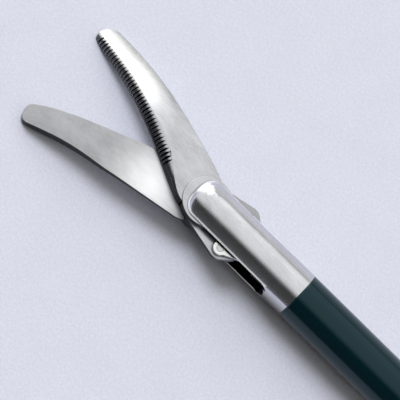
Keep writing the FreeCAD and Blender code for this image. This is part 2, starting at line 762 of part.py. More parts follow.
def handle_outside():
    """The whole closed handle: the body, the grip with its finger loop, the post's boss."""
    body = plate(
        rounded_face(
            [
                (BODY_FRONT, BODY_TOP - BODY_FALL, BODY_FRONT_R),
                (BODY_FRONT, BODY_BOTTOM + BODY_FALL, BODY_FRONT_R),
                (BODY_CREST, BODY_BOTTOM, BODY_BOW_R),
                (BODY_BACK + BODY_FALL, BODY_BOTTOM + BODY_FALL / 2, BODY_BACK_R),
                (BODY_BACK, BODY_TOP - BODY_FALL, BODY_BACK_R),
                (BODY_CREST, BODY_TOP, BODY_BOW_R),
            ]
        ),
        -BODY_HALF,
        BODY_HALF,
    )
    body = soften(body, BODY_EDGE_R, (-BODY_HALF, BODY_HALF))
    front = LOOP_FRONT + LOOP_WALL
    back = LOOP_BACK - LOOP_WALL
    top = LOOP_TOP + LOOP_WALL
    bottom = LOOP_BOTTOM - LOOP_WALL
    outer = LOOP_ROUND + LOOP_WALL
    root = BODY_BOTTOM + GRIP_FLARE
    grip = plate(
        rounded_face(
            [
                (GRIP_FRONT + GRIP_FLARE, root, GRIP_ROOT_R),
                (GRIP_FRONT, BODY_BOTTOM - GRIP_ROOT_R, GRIP_BEND_R),
                (GRIP_FRONT - GRIP_WAIST, top + NECK_LONG, GRIP_BEND_R),
                (front, top - NECK_LONG, 1.5 * GRIP_BEND_R),
                (front, bottom, outer),
                (back, bottom, outer),
                (back, top - NECK_LONG / 2, 2 * GRIP_BEND_R),
                (GRIP_BACK + GRIP_FLARE, top + NECK_LONG, 2 * GRIP_BEND_R),
                (GRIP_BACK, root, GRIP_ROOT_R),
            ]
        ),
        -GRIP_HALF,
        GRIP_HALF,
    )
    hole = plate(
        rounded_face(
            [
                (LOOP_FRONT, LOOP_TOP, LOOP_ROUND),
                (LOOP_FRONT, LOOP_BOTTOM, LOOP_ROUND),
                (LOOP_BACK, LOOP_BOTTOM, LOOP_ROUND),
                (LOOP_BACK, LOOP_TOP, LOOP_ROUND),
            ]
        ),
        -GRIP_HALF,
        GRIP_HALF,
    )
    grip = soften(grip.cut(hole), GRIP_EDGE_R, (-GRIP_HALF, GRIP_HALF))
    boss = Part.makeCone(POST_BOSS_ROOT_R, POST_BOSS_R, POST_SHOULDER, POST_FOOT, POST_DIR)
    rim = [e for e in boss.Edges if (e.BoundBox.Center - POST_FOOT).Length > POST_SHOULDER / 2]
    rim = [e for e in rim if e.Closed]
    boss = boss.makeFillet(POST_BOSS_BREAK, rim)
    return body.multiFuse([grip, boss])


def lever_room():
    """The space the lever's head and fork swing in, open below and behind."""
    pivot = Vector(DRIVE_X, LEVER_PIVOT_Y, 0)
    head_r = LEVER_EYE_R + LEVER_EYE_ROOM
    head = rod_z(head_r, pivot.x, pivot.y, -CAVITY_HALF, CAVITY_HALF)
    reach = BALL_R + FORK_PRONG + FORK_ROOM
    low = -CAVITY_HALF
    above = block(DRIVE_X - reach, DRIVE_X + reach, pivot.y, CAVITY_TOP, low, CAVITY_HALF)
    corners = [
        (DRIVE_X + MOUTH_HALF, pivot.y, MOUTH_R),
        (DRIVE_X - MOUTH_HALF, pivot.y + 1, MOUTH_R),
        (DRIVE_X - MOUTH_BACK, MOUTH_BOTTOM, MOUTH_R),
        (DRIVE_X + MOUTH_FRONT, MOUTH_BOTTOM, MOUTH_R),
    ]
    mouth = plate(rounded_face(corners), low, CAVITY_HALF)
    return head.multiFuse([above, mouth])


def handle_inside():
    """Everything cut out of the shells."""
    journal_r = JOURNAL_R + KNOB_RUNNING
    post_room = rod_between(POST_SHANK_R + SLIP, POST_FOOT, POST_FOOT + POST_DIR * FAR)
    size = BLOCK_HALF + SLIP
    cuts = [
        lever_room(),
        rod_x(journal_r, GROOVE_FRONT - RIB_SIDE_GAP, 0),
        rod_x(GROOVE_R + KNOB_RUNNING, JOURNAL_END, 0),
        rod_x(journal_r, JOURNAL_END - SEAL_CAP_THICK - SEAL_CAP_ROOM, GROOVE_BACK + RIB_SIDE_GAP),
        rod_x(ROD_R + ROD_ROOM, DRIVE_X, JOURNAL_END),
        block(POST_FOOT_X - size, POST_FOOT_X + size, -size, size, -size, size),
        post_room,
        rod_z(LEVER_PIN_R + SLIP, DRIVE_X, LEVER_PIVOT_Y, -FAR, FAR),
        rod_z(LEVER_HEAD_R + SLIP, DRIVE_X, LEVER_PIVOT_Y, LEVER_HEAD_SEAT, FAR),
        rod_z(LEVER_HEAD_R + SLIP, DRIVE_X, LEVER_PIVOT_Y, -FAR, -LEVER_HEAD_SEAT),
    ]
    for x, y, half in SCREW_SPOTS:
        cuts.append(rod_z(SHELL_SCREW_R + SLIP, x, y, -FAR, SHELL_THREAD_REACH))
        cuts.append(rod_z(SHELL_HEAD_R + SLIP, x, y, -FAR, -half + SHELL_HEAD_DEEP))
    return cuts


def handle_shell(side):
    """One half of the handle. Side is 1 for the left shell, above, and -1 for the right."""
    low, high = (0, FAR) if side > 0 else (-FAR, 0)
    shell = handle_outside().common(block(-FAR, FAR, -FAR, FAR, low, high))
    for cutter in handle_inside():
        shell = shell.cut(cutter)
    return shell.removeSplitter()


def shell_screws():
    screws = []
    for x, y, half in SCREW_SPOTS:
        seat = -half + SHELL_HEAD_DEEP
        top = -half + SHELL_HEAD_SUNK
        reach = 2 * SHELL_HEAD_R
        width = SCREW_SLOT_HALF
        shank = rod_z(SHELL_SCREW_R, x, y, seat, SHELL_THREAD_REACH - SCREW_END_GAP)
        head = rod_z(SHELL_HEAD_R, x, y, top, seat)
        slot = block(x - reach, x + reach, y - width, y + width, -half, top + SCREW_SLOT_DEEP)
        screws.append(shank.fuse(head.cut(slot)))
    return Part.makeCompound(screws)


# Thumb lever


def thumb_lever():
    """The lever with its thumb ring, forked at the top round the drive fork."""
    pivot = Vector(DRIVE_X, LEVER_PIVOT_Y, 0)
    thumb = Vector(THUMB_X, THUMB_Y, 0)
    ring_r = THUMB_HOLE_R + THUMB_WALL
    along = thumb - pivot
    length = along.Length
    along.normalize()
    across = Vector(-along.y, along.x, 0)
    waist = pivot + along * (LEVER_WAIST * length)
    root = pivot + along * (length - ring_r - LEVER_ROOT_GAP)

    def spot(point, offset, radius):
        moved = point + across * offset
        return (moved.x, moved.y, radius)

    end = pivot - along * LEVER_EYE_R
    side = LEVER_ARM_HALF
    arm = plate(
        rounded_face(
            [
                spot(end, LEVER_EYE_R, LEVER_EYE_R * 0.95),
                spot(end, -LEVER_EYE_R, LEVER_EYE_R * 0.95),
                spot(waist, -side, LEVER_WAIST_R),
                spot(root, -side - LEVER_ROOT_FLARE, LEVER_ROOT_R),
                spot(thumb, LEVER_INSET - ring_r, LEVER_EDGE_R * 2),
                spot(thumb, ring_r - LEVER_INSET, LEVER_EDGE_R * 2),
                spot(root, side + LEVER_ROOT_FLARE, LEVER_ROOT_R),
                spot(waist, side, LEVER_WAIST_R),
            ]
        ),
        -LEVER_HALF,
        LEVER_HALF,
    )
    arm = soften(arm, LEVER_EDGE_R, (-LEVER_HALF, LEVER_HALF))
    middle_r = THUMB_HOLE_R + THUMB_WALL / 2
    arm = arm.cut(rod_z(middle_r, thumb.x, thumb.y, -LEVER_HALF, LEVER_HALF))
    ring = rod_z(ring_r, thumb.x, thumb.y, -LEVER_HALF, LEVER_HALF)
    ring = ring.cut(rod_z(THUMB_HOLE_R, thumb.x, thumb.y, -LEVER_HALF, LEVER_HALF))
    body = soften(ring, LEVER_EDGE_R, (-LEVER_HALF, LEVER_HALF)).fuse(arm)
    slot_half = FORK_THICK / 2 + FORK_SIDE_GAP
    body = body.cut(rod_z(FORK_SEAT_R, pivot.x, pivot.y, -slot_half, slot_half))
    body = body.cut(block(-FAR, 0, LEVER_PIVOT_Y + LEVER_HEAD_TOP, FAR, -FAR, FAR))
    body = body.cut(rod_z(LEVER_PIN_R + LEVER_RUNNING, pivot.x, pivot.y, -FAR, FAR))
    key = fork_pin_spot()
    return body.cut(rod_z(FORK_PIN_R + SLIP / 2, key.x, key.y, -FAR, FAR))


def fork_pin_spot():
    """The middle of the pin that keys the fork to the lever, down the lever's arm."""
    pivot = Vector(DRIVE_X, LEVER_PIVOT_Y, 0)
    along = Vector(THUMB_X, THUMB_Y, 0) - pivot
    along.normalize()
    return pivot + along * FORK_PIN_DOWN


def drive_fork():
    """The steel fork in the lever's head: a slot for the ball and a slit for its neck."""
    half = FORK_THICK / 2
    pocket = BALL_R + BALL_PLAY
    outer = pocket + FORK_PRONG
    top = BALL_R + FORK_ABOVE
    pivot = Vector(DRIVE_X, LEVER_PIVOT_Y, 0)
    spot = fork_pin_spot()
    head = block(DRIVE_X - outer, DRIVE_X + outer, -BALL_R - FORK_FLOOR, top, -half, half)
    stem = strap(pivot, FORK_EYE_R, spot, FORK_SEAT_R - FORK_PIN_DOWN - SLIP, -half, half)
    body = head.fuse(stem)
    slit = FORK_SLIT / 2
    cuts = [
        block(DRIVE_X - pocket, DRIVE_X + pocket, 0, FAR, -FAR, FAR),
        rod_z(pocket, DRIVE_X, 0, -FAR, FAR),
        block(DRIVE_X, 0, -FORK_SLIT_DEEP, FAR, -slit, slit),
        rod_z(LEVER_PIN_R + LEVER_RUNNING, pivot.x, pivot.y, -FAR, FAR),
        rod_z(FORK_PIN_R + SLIP / 2, spot.x, spot.y, -FAR, FAR),
    ]
    for cutter in cuts:
        body = body.cut(cutter)
    return body


def fork_pin():
    spot = fork_pin_spot()
    return rod_z(FORK_PIN_R, spot.x, spot.y, -LEVER_HALF, LEVER_HALF)


def lever_screw():
    """The lever's pivot: a shouldered screw with a slotted head."""
    x = DRIVE_X
    y = LEVER_PIVOT_Y
    top = LEVER_HEAD_SEAT + LEVER_HEAD_THICK
    reach = 2 * LEVER_HEAD_R
    width = SCREW_SLOT_HALF
    shank = rod_z(LEVER_PIN_R, x, y, SCREW_END_GAP - top, LEVER_HEAD_SEAT)
    head = rod_z(LEVER_HEAD_R, x, y, LEVER_HEAD_SEAT, top)
    slot = block(x - reach, x + reach, y - width, y + width, top - SCREW_SLOT_DEEP, FAR)
    return shank.fuse(head.cut(slot))


def lever_nut():
    low = -LEVER_HEAD_SEAT - LEVER_HEAD_THICK
    body = rod_z(LEVER_HEAD_R, DRIVE_X, LEVER_PIVOT_Y, low, -LEVER_HEAD_SEAT)
    return body.cut(rod_z(LEVER_PIN_R + SLIP / 2, DRIVE_X, LEVER_PIVOT_Y, -FAR, FAR))


# Connector post


def contact_block():
    """The brass block in the handle: the rod slides through it and the post screws in."""
    h = BLOCK_HALF
    body = block(POST_FOOT_X - h, POST_FOOT_X + h, -h, h, -h, h)
    body = body.cut(rod_x(ROD_R + BLOCK_RUNNING, POST_FOOT_X - 2 * h, POST_FOOT_X + 2 * h))
    start = POST_FOOT + POST_DIR * (POST_START - SLIP)
    return body.cut(rod_between(POST_SHANK_R + SLIP, start, POST_FOOT + POST_DIR * FAR))


def connector_post():
    """The post that takes the cable's plug: a shank in the block, a round-nosed pin."""
    shoulder = POST_FOOT + POST_DIR * POST_SHOULDER
    end = POST_FOOT + POST_DIR * (POST_SHOULDER + POST_LENGTH)
    shank = rod_between(POST_SHANK_R, POST_FOOT + POST_DIR * POST_START, shoulder)
    pin = rod_between(POST_R, shoulder, end)
    rim = [e for e in pin.Edges if (e.BoundBox.Center - end).Length < POST_R / 4]
    return shank.fuse(pin.makeFillet(POST_NOSE_ROUND, rim))


def write_parts():
    pieces = {
        "insulation_sleeve": sleeve(),
        "outer_tube": tube(),
        "clevis": clevis(),
        "pivot_pin": pivot_pin(),
        "upper_blade": upper_blade(),
        "lower_blade": lower_blade(),
        "upper_link": link(1),
        "lower_link": link(-1),
        "upper_link_pin": place_upper(link_pin_shut()),
        "lower_link_pin": place_lower(link_pin_shut()),
        "rod_pin": rod_pin(),
        "pull_rod": pull_rod(),
        "rod_ball": rod_ball(),
        "rotation_knob": knob(),
        "knob_nose_cap": nose_cap(),
        "tube_collar": tube_collar(),
        "grub_screws": grub_screws(),
        "rod_seal": rod_seal(),
        "seal_cap": seal_cap(),
        "handle_shell_left": handle_shell(1),
        "handle_shell_right": handle_shell(-1),
        "shell_screws": shell_screws(),
        "thumb_lever": thumb_lever(),
        "drive_fork": drive_fork(),
        "fork_pin": fork_pin(),
        "lever_screw": lever_screw(),
        "lever_nut": lever_nut(),
        "contact_block": contact_block(),
        "connector_post": connector_post(),
    }
    os.makedirs("parts", exist_ok=True)
    for name, shape in pieces.items():
        shape.exportStep("parts/" + name + ".step")
        solids = shape.Solids
        volume = sum(s.Volume for s in solids)
        print(name, "solids", len(solids), "valid", shape.isValid(), "mm3", round(volume, 2))


write_parts()
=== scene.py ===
import json
import math

import bmesh
import bpy
from mathutils import Matrix, Vector
from mathutils.bvhtree import BVHTree


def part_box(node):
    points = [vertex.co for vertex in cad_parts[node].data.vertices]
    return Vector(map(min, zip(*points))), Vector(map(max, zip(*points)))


# Laparoscopic scissors on a pale table, seen close at the tip. Metres, in the CAD frame:
# +X along the shaft to the blades, +Z up across the plane in which the blades open.

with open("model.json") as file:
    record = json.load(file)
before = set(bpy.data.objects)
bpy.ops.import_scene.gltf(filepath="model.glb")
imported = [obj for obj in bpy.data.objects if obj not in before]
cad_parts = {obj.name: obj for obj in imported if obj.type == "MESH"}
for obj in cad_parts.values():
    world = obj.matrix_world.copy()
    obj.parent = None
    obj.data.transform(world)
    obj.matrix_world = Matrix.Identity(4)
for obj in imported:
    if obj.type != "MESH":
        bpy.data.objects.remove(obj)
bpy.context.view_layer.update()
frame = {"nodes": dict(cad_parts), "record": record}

MM = 0.001


def from_pivot(x, y, z):
    """A place on the tip, in millimetres from the blades' pivot on the shaft's axis."""
    low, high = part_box("pivot_pin")
    return Vector(((low.x + high.x) / 2, 0, 0)) + Vector((x, y, z)) * MM


# The photograph's view of the tip
VIEW_ROLL = math.radians(25.0)
SHAFT_SLOPE = math.radians(44.5)
FRAME_WIDTH = 37.9 * MM
VIEW_CENTRE_AHEAD = 12.82 * MM
CAMERA_DISTANCE = 190 * MM
SENSOR = 36.0
CLIP_NEAR = 1 * MM
CLIP_FAR = 50.0

# The view's own axes: along and across the shaft, back to the camera, right and up
AHEAD = Vector((1, 0, 0))
BACK = Vector((0, math.sin(VIEW_ROLL), math.cos(VIEW_ROLL)))
ACROSS = BACK.cross(AHEAD).normalized() * -1
RIGHT = -math.cos(SHAFT_SLOPE) * AHEAD + math.sin(SHAFT_SLOPE) * ACROSS
UPWARD = math.sin(SHAFT_SLOPE) * AHEAD + math.cos(SHAFT_SLOPE) * ACROSS

# Where the instrument balances and which pieces reach lowest, for how it lies
BALANCE = Vector((0.034, -0.015, 0.0))
RESTS_ON = ("rotation_knob", "handle_shell_right", "thumb_lever", "lower_blade", "clevis")

# The table's size and look
TABLE_HALF = 6.0
TABLE_COLOUR = (0.575, 0.584, 0.664)
TABLE_CLOUDS = 4 * MM
TABLE_CLOUD_SHADE = 0.97
TABLE_SPECKLE = 0.25 * MM
TABLE_SPECKLE_SHADE = 0.9
TABLE_ROUGHNESS = 0.9

# The key light: where it comes from, its strength, its width in the sky and its colour
KEY_WAY = (AHEAD * 0.6 + ACROSS * 0.54 + BACK * 0.7).normalized()
KEY_STRENGTH = 2.55
KEY_WIDTH = math.radians(28)
KEY_COLOUR = (0.96, 0.98, 1.05)

# The room's light by the angle round the shaft, in degrees from BACK towards ACROSS
GLOW = [
    (-180, 0.3),
    (-120, 0.16),
    (-60, 0.08),
    (-28, 0.05),
    (-12, 0.03),
    (6, 0.82),
    (60, 0.94),
    (80, 0.92),
    (89, 0.34),
    (98, 0.7),
    (120, 0.6),
]
ROOM_TINT = (1.0, 0.995, 0.93, 1)
BACKGROUND = (0.70, 0.71, 0.80, 1)

# Soft boxes in the room: the way to each and its light by the cosine of the angle off it
BLADE_BOX = (
    (AHEAD * 0.4 + ACROSS * 0.87 + BACK * 0.29).normalized(),
    [(0.91, 0.0), (0.97, 1.1)],
)
NOSE_BOX = (
    (AHEAD * 0.7 + ACROSS * 0.69 - BACK * 0.22).normalized(),
    [(0.93, 0.0), (0.97, 3.0)],
)

# Each finish's base colour, linear, with its least and most roughness
LOOKS = {
    "insulation": ((0.0006, 0.0115, 0.016), (0.1, 0.16)),
    "clevis_steel": ((0.74, 0.75, 0.83), (0.16, 0.24)),
    "turned_steel": ((0.7, 0.71, 0.78), (0.2, 0.34)),
    "upper_blade_steel": ((0.61, 0.62, 0.69), (0.24, 0.36)),
    # Painted shade: the lower blade's steel is a darker copy of the upper blade's
    "shaded_lower_blade_steel": ((0.42, 0.425, 0.47), (0.36, 0.46)),
    # Painted highlight: the upper link's steel is a brighter copy of turned steel
    "highlit_link_steel": ((0.92, 0.93, 0.97), (0.2, 0.3)),
    # Painted shade: a darker copy of turned steel for the pieces deep in the slot
    "shaded_inner_steel": ((0.3, 0.3, 0.3), (0.4, 0.6)),
    "contact_brass": ((0.62, 0.45, 0.2), (0.2, 0.35)),
    "handle_black": ((0.013, 0.014, 0.016), (0.4, 0.54)),
    "knob_grey": ((0.026, 0.028, 0.031), (0.32, 0.45)),
    "seal_rubber": ((0.28, 0.08, 0.05), (0.5, 0.7)),
}
TEAL_SHEEN = (0.6, 0.86, 1.0, 1)

# Ground steel: grain and stretch of its lines and clouds, their relief, edges, unevenness
LINE_GRAIN = 0.06 * MM
LINE_STRETCH = 30.0
LINE_DEPTH = 0.002 * MM
LINE_STRENGTH = 0.5
CLOUD_GRAIN = 1.2 * MM
CLOUD_STRETCH = 2.0
STEEL_EDGE = 0.06 * MM
CLEVIS_EDGE = 0.02 * MM
STEEL_UNEVEN = 0.12
UPPER_BLADE_UNEVEN = 0.17
LOWER_BLADE_UNEVEN = 0.2

# Moulded plastic: its skin, the wider clouds in it, its edges and how they are worn
SKIN_GRAIN = 0.4 * MM
SKIN_DEPTH = 0.02 * MM
SKIN_STRENGTH = 0.6
SLEEVE_GRAIN = 0.6 * MM
SLEEVE_DEPTH = 0.002 * MM
CLOUDS_PER_SKIN = 30
SKIN_CLOUD_SHADE = 0.88
PLASTIC_EDGE = 0.25 * MM
WORN_EDGE = 0.4 * MM
WORN_STOPS = [(0.8, 1.0), (0.99, 0.0)]
WORN_SHARE = 0.35
WORN_GAIN = 1.8
WORN_LIFT = 0.02

# The part of a noise's range over which roughness, steel's tint and clouds run
ROUGH_BAND = (0.35, 0.65)
TINT_BAND = (0.38, 0.62)
CLOUD_BAND = (0.3, 0.7)

# Samples of the soft edges and of the painted shade in gaps
EDGE_SAMPLES = 6
GAP_SAMPLES = 12

# Painted shade in gaps: how far it is felt, the openness at the darkest and the brightest,
# the grey
STEEL_GAP_SHADE = (1.2 * MM, 0.35, 0.75, 0.02)
INNER_GAP_SHADE = (4 * MM, 0.6, 1.0, 0.02)
CLEVIS_GAP_SHADE = (3 * MM, 0.1, 0.5, 0.02)
NOTCH_SHADE = (0.4 * MM, 0.4, 0.85, 0.02)
PLASTIC_GAP_SHADE = (1.5 * MM, 0.3, 0.8, 0.25)

# The clevis's slot: half its width, its reach from the axis, its rim, back end and the grey
# of the painted shade inside it
SLOT_HALF = 1.06 * MM
SLOT_REACH = 2.46 * MM
SLOT_RIM_TOP = 1.3 * MM
SLOT_BACK_END = from_pivot(-9.5, 0, 0).x
SLOT_SHADE_GREY = 0.015

# Painted highlight spots: centre, full within, gone beyond, how ragged
NOSE_HIGHLIGHT_SPOT = (from_pivot(1.2, -0.35, 1.8), 0.5 * MM, 1.1 * MM, 0.3 * MM)
CROSSING_HIGHLIGHT_SPOT = (from_pivot(5.0, 2.2, 0), 0.6 * MM, 7.0 * MM, 2.0 * MM)
BLADE_HIGHLIGHT_SPOT = (from_pivot(15.3, -3.8, 0), 2.0 * MM, 8.0 * MM, 1.5 * MM)
SPOT_GRAIN = 0.5 * MM
SPOT_STRETCH = 2.5

# The painted highlights' colour and, where they scatter light, how metallic they stay
NOSE_HIGHLIGHT = ((0.95, 0.95, 0.96, 1), 0.2)
CROSSING_HIGHLIGHT = ((0.8, 0.81, 0.84, 1), 0.3)
BLADE_HIGHLIGHT_COLOUR = (0.9, 0.91, 0.94, 1)

# Painted shade on faces by the way they look: the way, then greys or tints by its cosine
BLADE_TURN = math.radians(16.4)
CLEVIS_UNDERSIDE_SHADE = (
    (0, 0.906, -0.423),
    [(0.6, 1.0), (0.78, (0.58, 0.56, 0.5, 1)), (0.95, (0.12, 0.115, 0.1, 1))],
)
CLEVIS_TOP_SHADE = (
    (0, -0.906, 0.423),
    [(0.75, 1.0), (0.95, (0.88, 0.86, 0.8, 1))],
)
SERRATED_EDGE_SHADE = (
    (math.sin(BLADE_TURN), math.cos(BLADE_TURN), 0),
    [(0.45, 1.0), (0.78, 0.2), (0.95, 0.03)],
)
UPPER_BLADE_BACK_SHADE = (
    (0, -1, 0),
    [(0.12, 1.0), (0.3, 0.7)],
)
LOWER_BLADE_BACK_SHADE = (
    (-math.sin(BLADE_TURN), math.cos(BLADE_TURN), 0),
    [(0.4, 1.0), (0.85, 0.05)],
)


# Shader nodes


class Nodes:
    """A small helper that builds a node tree by name."""

    def __init__(self, tree):
        self.tree = tree
        tree.nodes.clear()

    def add(self, kind, **settings):
        node = self.tree.nodes.new(kind)
        for key, value in settings.items():
            if key in node.inputs:
                node.inputs[key].default_value = value
            else:
                setattr(node, key, value)
        return node

    def link(self, source, output, target, socket):
        self.tree.links.new(source.outputs[output], target.inputs[socket])

    def maths(self, operation, *values):
        """A maths node whose inputs are numbers or (node, output) pairs."""
        node = self.add("ShaderNodeMath", operation=operation)
        for socket, value in enumerate(values):
            if isinstance(value, tuple):
                self.link(*value, node, socket)
            else:
                node.inputs[socket].default_value = value
        return node


def new_material(name):
    material = bpy.data.materials.new(name)
    material.use_nodes = True
    nodes = Nodes(material.node_tree)
    shader = nodes.add("ShaderNodeBsdfPrincipled")
    output = nodes.add("ShaderNodeOutputMaterial")
    nodes.link(shader, "BSDF", output, "Surface")
    return material, nodes, shader


def scaled(colour, share, lift=0.0):
    """A colour times a share, as the four numbers that a socket takes."""
    return tuple(share * c + lift for c in colour) + (1,)


def stretched_noise(nodes, size, stretch=1.0, turn=0.0, detail=4.0):
    """Noise in object space with a grain this size, drawn out along the turned X axis."""
    coords = nodes.add("ShaderNodeTexCoord")
    place = nodes.add("ShaderNodeMapping")
    place.inputs["Rotation"].default_value = (0, 0, turn)
    place.inputs["Scale"].default_value = (1 / stretch, 1, 1)
    noise = nodes.add("ShaderNodeTexNoise", Scale=1 / size, Detail=detail, Roughness=0.6)
    nodes.link(coords, "Object", place, "Vector")
    nodes.link(place, "Vector", noise, "Vector")
    return noise


def ramp(nodes, source, output, stops):
    """A colour ramp of (position, grey or colour) stops."""
    node = nodes.add("ShaderNodeValToRGB")
    points = node.color_ramp.elements
    while len(points) < len(stops):
        points.new(0.5)
    for point, (position, colour) in zip(points, stops):
        point.position = position
        point.color = colour if isinstance(colour, tuple) else (colour, colour, colour, 1)
    nodes.link(source, output, node, "Fac")
    return node


def across_band(nodes, source, output, band, low, high):
    """A ramp from one grey or colour to another over a band of a noise's range."""
    return ramp(nodes, source, output, list(zip(band, (low, high))))


def tinted(nodes, base, colour, factor=None, blend="MULTIPLY"):
    """Lays a colour or another node's colour over a base, in full or by a factor."""
    node = nodes.add("ShaderNodeMixRGB", blend_type=blend)
    nodes.link(base, "Color", node, "Color1")
    if isinstance(colour, tuple):
        node.inputs["Color2"].default_value = colour
    else:
        nodes.link(colour, "Color", node, "Color2")
    if factor is None:
        node.inputs["Fac"].default_value = 1.0
    else:
        nodes.link(*factor, node, "Fac")
    return node


def shaded(nodes, shader, mask):
    """Multiplies the base colour that the shader has by a grey or a tint."""
    before = shader.inputs["Base Color"].links[0].from_node
    nodes.link(tinted(nodes, before, mask), "Color", shader, "Base Color")


def wear_and_highlight(nodes, shader, mask, colour):
    """Lays a colour over the base colour that the shader has, by a mask: worn edges on
    plastic, a painted highlight on steel.
    """
    before = shader.inputs["Base Color"].links[0].from_node
    nodes.link(tinted(nodes, before, colour, mask, "MIX"), "Color", shader, "Base Color")


def painted_highlight(nodes, shader, mask, colour, metallic):
    """Lays a painted highlight patch over the metal, which also scatters the key light."""
    wear_and_highlight(nodes, shader, mask, colour)
    scatter = ramp(nodes, *mask, [(0.0, 1.0), (1.0, metallic)])
    nodes.link(scatter, "Color", shader, "Metallic")


def relief(nodes, shader, height, depth, strength, edge):
    """Fine relief from a noise's height, over edges that are rounded within a radius."""
    rounded = nodes.add("ShaderNodeBevel", samples=EDGE_SAMPLES, Radius=edge)
    bump = nodes.add("ShaderNodeBump", Distance=depth, Strength=strength)
    nodes.link(height, "Fac", bump, "Height")
    nodes.link(rounded, "Normal", bump, "Normal")
    nodes.link(bump, "Normal", shader, "Normal")


def painted_gap_shade(nodes, reach, low, high, grey):
    """A grey of painted shade that is 1 in the open and falls in slots, notches and gaps."""
    open_sky = nodes.add("ShaderNodeAmbientOcclusion", samples=GAP_SAMPLES, Distance=reach)
    flat = nodes.add("ShaderNodeNewGeometry")
    nodes.link(flat, "True Normal", open_sky, "Normal")
    return ramp(nodes, open_sky, "AO", [(low, grey), (high, 1.0)])


def edge_mask(nodes, radius):
    """A grey that is 1 along edges within this radius and 0 on open faces."""
    rounded = nodes.add("ShaderNodeBevel", samples=EDGE_SAMPLES, Radius=radius)
    flat = nodes.add("ShaderNodeNewGeometry")
    agree = nodes.add("ShaderNodeVectorMath", operation="DOT_PRODUCT")
    nodes.link(rounded, "Normal", agree, 0)
    nodes.link(flat, "Normal", agree, 1)
    return ramp(nodes, agree, "Value", WORN_STOPS)


def along(nodes, source, output, way):
    """How far a direction goes along the given way."""
    dot = nodes.add("ShaderNodeVectorMath", operation="DOT_PRODUCT")
    dot.inputs[1].default_value = way
    nodes.link(source, output, dot, 0)
    return dot


def facing_shade(nodes, way, stops):
    """A grey or a tint of painted shade by how far a face of the piece looks along this way.
    """
    flat = nodes.add("ShaderNodeNewGeometry")
    own = nodes.add("ShaderNodeVectorTransform", vector_type="NORMAL")
    own.convert_from = "WORLD"
    own.convert_to = "OBJECT"
    nodes.link(flat, "True Normal", own, "Vector")
    return ramp(nodes, along(nodes, own, "Vector", way), "Value", stops)


def patch(nodes, centre, inner, outer, ragged):
    """A factor that is 1 near a point of the piece and fades out with a ragged edge."""
    coords = nodes.add("ShaderNodeTexCoord")
    far = nodes.add("ShaderNodeVectorMath", operation="DISTANCE")
    far.inputs[1].default_value = centre
    nodes.link(coords, "Object", far, 0)
    noise = stretched_noise(nodes, SPOT_GRAIN, SPOT_STRETCH, -BLADE_TURN)
    uneven = nodes.maths("MULTIPLY_ADD", (noise, "Fac"), ragged, (far, "Value"))
    fade = nodes.add("ShaderNodeMapRange", interpolation_type="SMOOTHSTEP")
    fade.inputs["From Min"].default_value = outer
    fade.inputs["From Max"].default_value = inner
    nodes.link(uneven, "Value", fade, "Value")
    return fade


def place_in_piece(nodes):
    """The place in the piece, its coordinates and its height off the middle plane."""
    coords = nodes.add("ShaderNodeTexCoord")
    split = nodes.add("ShaderNodeSeparateXYZ")
    nodes.link(coords, "Object", split, "Vector")
    return coords, split, nodes.maths("ABSOLUTE", (split, "Z"))


def slot_rim_highlight(nodes):
    """A factor that is 1 on the narrow rim beside the slot, ahead of its back end: the place
    of a painted highlight.
    """
    _, split, height = place_in_piece(nodes)
    middle = (SLOT_HALF + SLOT_RIM_TOP) / 2
    reach = (SLOT_RIM_TOP - SLOT_HALF) / 2
    beside = nodes.maths("COMPARE", (height, "Value"), middle, reach)
    front = nodes.maths("GREATER_THAN", (split, "X"), SLOT_BACK_END)
    return nodes.maths("MULTIPLY", (beside, "Value"), (front, "Value"))


def slot_shade(nodes):
    """A grey of painted shade that is dark inside the slot and 1 outside."""
    coords, _, height = place_in_piece(nodes)
    between = nodes.maths("LESS_THAN", (height, "Value"), SLOT_HALF)
    squashed = nodes.add("ShaderNodeVectorMath", operation="MULTIPLY")
    squashed.inputs[1].default_value = (0, 1, 1)
    nodes.link(coords, "Object", squashed, 0)
    reach = nodes.add("ShaderNodeVectorMath", operation="LENGTH")
    nodes.link(squashed, "Vector", reach, 0)
    within = nodes.maths("LESS_THAN", (reach, "Value"), SLOT_REACH)
    both = nodes.maths("MULTIPLY", (between, "Value"), (within, "Value"))
    return ramp(nodes, both, "Value", [(0.0, 1.0), (1.0, SLOT_SHADE_GREY)])


# Finishes


def steel(name, turn=0.0, uneven=STEEL_UNEVEN, edge=STEEL_EDGE):
    """Ground stainless steel: fine lines along one way, soft clouds of roughness and
    softly rounded edges."""
    colour, (low, high) = LOOKS[name]
    material, nodes, shader = new_material(name)
    shader.inputs["Metallic"].default_value = 1.0
    lines = stretched_noise(nodes, LINE_GRAIN, LINE_STRETCH, turn)
    clouds = stretched_noise(nodes, CLOUD_GRAIN, CLOUD_STRETCH, turn, detail=5.0)
    mixed = nodes.add("ShaderNodeMix", data_type="FLOAT")
    mixed.inputs["Factor"].default_value = 0.5
    nodes.link(lines, "Fac", mixed, "A")
    nodes.link(clouds, "Fac", mixed, "B")
    roughness = across_band(nodes, mixed, "Result", ROUGH_BAND, low, high)
    nodes.link(roughness, "Color", shader, "Roughness")
    dark = scaled(colour, 1 - uneven)
    light = scaled(colour, 1 + uneven / 2)
    tint = across_band(nodes, mixed, "Result", TINT_BAND, dark, light)
    nodes.link(tint, "Color", shader, "Base Color")
    relief(nodes, shader, lines, LINE_DEPTH, LINE_STRENGTH, edge)
    return material, nodes, shader


def plain_steel(name, gaps=STEEL_GAP_SHADE):
    """Steel with painted shade in its slots and gaps."""
    material, nodes, shader = steel(name)
    shaded(nodes, shader, painted_gap_shade(nodes, *gaps))
    return material


